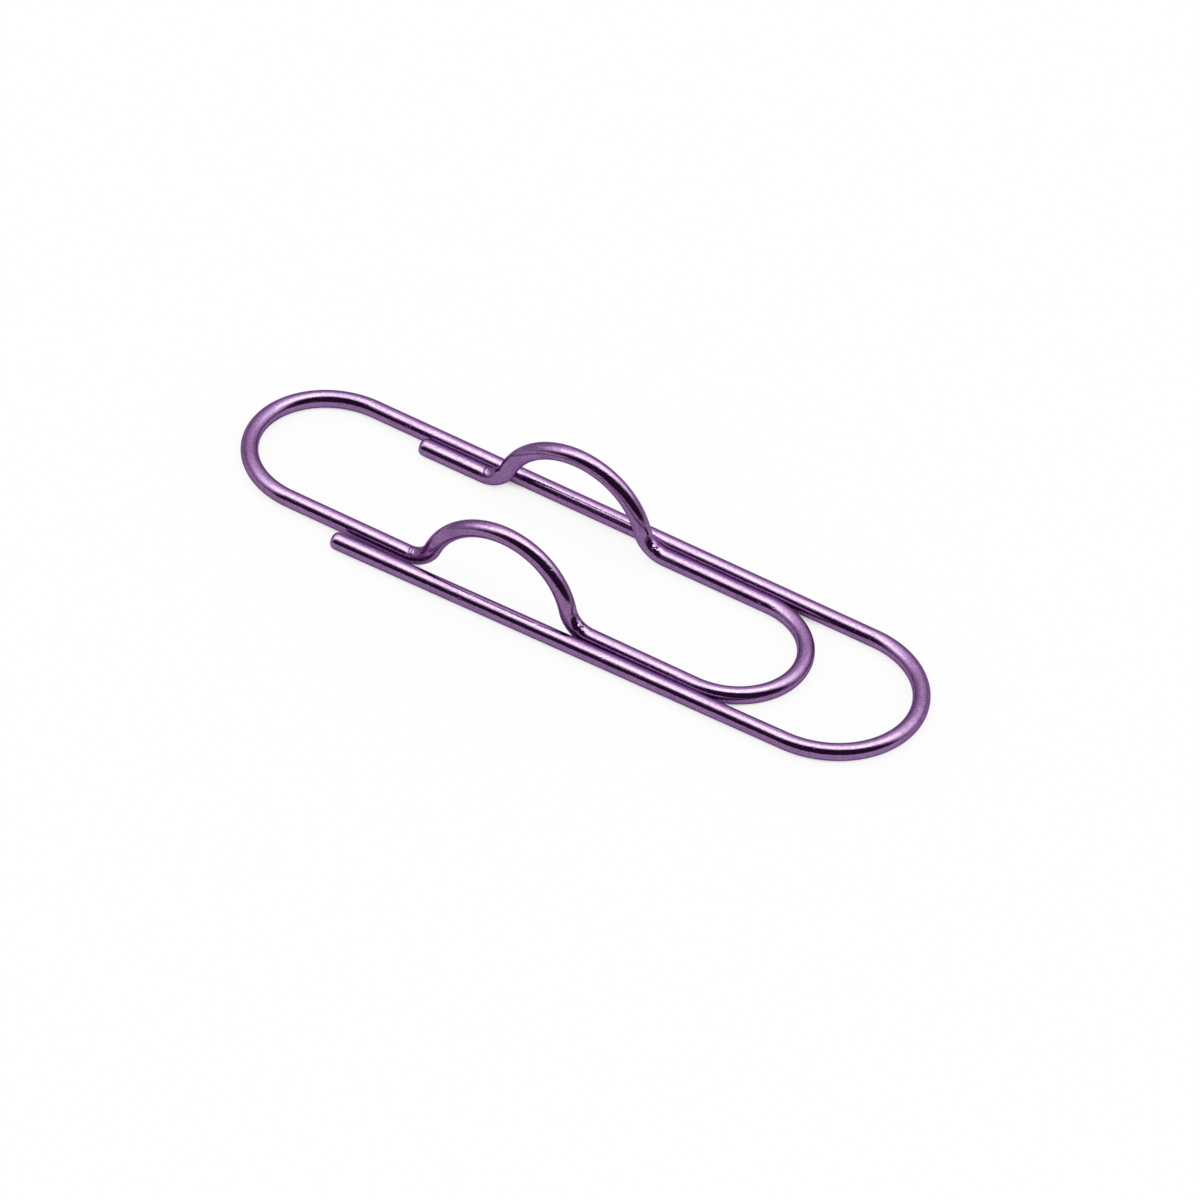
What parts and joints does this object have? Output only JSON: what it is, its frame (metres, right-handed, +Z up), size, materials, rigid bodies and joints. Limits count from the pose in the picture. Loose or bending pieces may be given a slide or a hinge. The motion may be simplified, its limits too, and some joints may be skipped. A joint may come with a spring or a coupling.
{
  "type": "paper clip",
  "caption": "Large paper clip bent from one round wire: an outer loop and a sprung inner tongue, with an upright arch on each side of the tongue that holds a pen crosswise.",
  "frame": {"origin": "under the middle of the clip, on the surface it lies on", "axes": "+X along the clip towards the bend where paper goes in, +Y across it towards the leg that joins both bends, +Z up, the way the arches stand"},
  "size_m": [0.0701, 0.019, 0.0086],
  "materials": {
    "plated_wire": "glossy metallic purple coat over steel wire"
  },
  "bodies": {
    "outer_loop": {"front_bend_far_half": "plated_wire", "far_outer_leg": "plated_wire", "back_bend_far_half": "plated_wire"},
    "outer_arm": {"near_outer_leg": "plated_wire", "front_bend_near_half": "plated_wire"},
    "tongue": {"back_bend_near_half": "plated_wire", "near_rear_leg": "plated_wire", "near_arch_rear_foot": "plated_wire", "near_arch_crown": "plated_wire", "near_arch_front_foot": "plated_wire", "near_front_leg": "plated_wire", "tongue_bend_near_half": "plated_wire"},
    "tongue_arm": {"tongue_bend_far_half": "plated_wire", "far_front_leg": "plated_wire", "far_arch_front_foot": "plated_wire", "far_arch_crown": "plated_wire", "far_arch_rear_foot": "plated_wire", "far_rear_leg": "plated_wire"}
  },
  "joints": [
    {"name": "tongue_flex", "type": "hinge", "parent": "outer_loop", "child": "tongue", "pos_m": [-0.03424, 0.00118, 0.00081], "axis": [0, -1, 0], "range_deg": [0, 8], "stiffness_Nm_per_rad": 1.1},
    {"name": "outer_arm_flex", "type": "hinge", "parent": "outer_loop", "child": "outer_arm", "pos_m": [0.03424, 0.00041, 0.00081], "axis": [0, 1, 0], "range_deg": [0, 6], "stiffness_Nm_per_rad": 1.5},
    {"name": "tongue_arm_flex", "type": "hinge", "parent": "tongue", "child": "tongue_arm", "pos_m": [0.02253, 0.0003, 0.00081], "axis": [0, 1, 0], "range_deg": [0, 6], "stiffness_Nm_per_rad": 1.8}
  ]
}
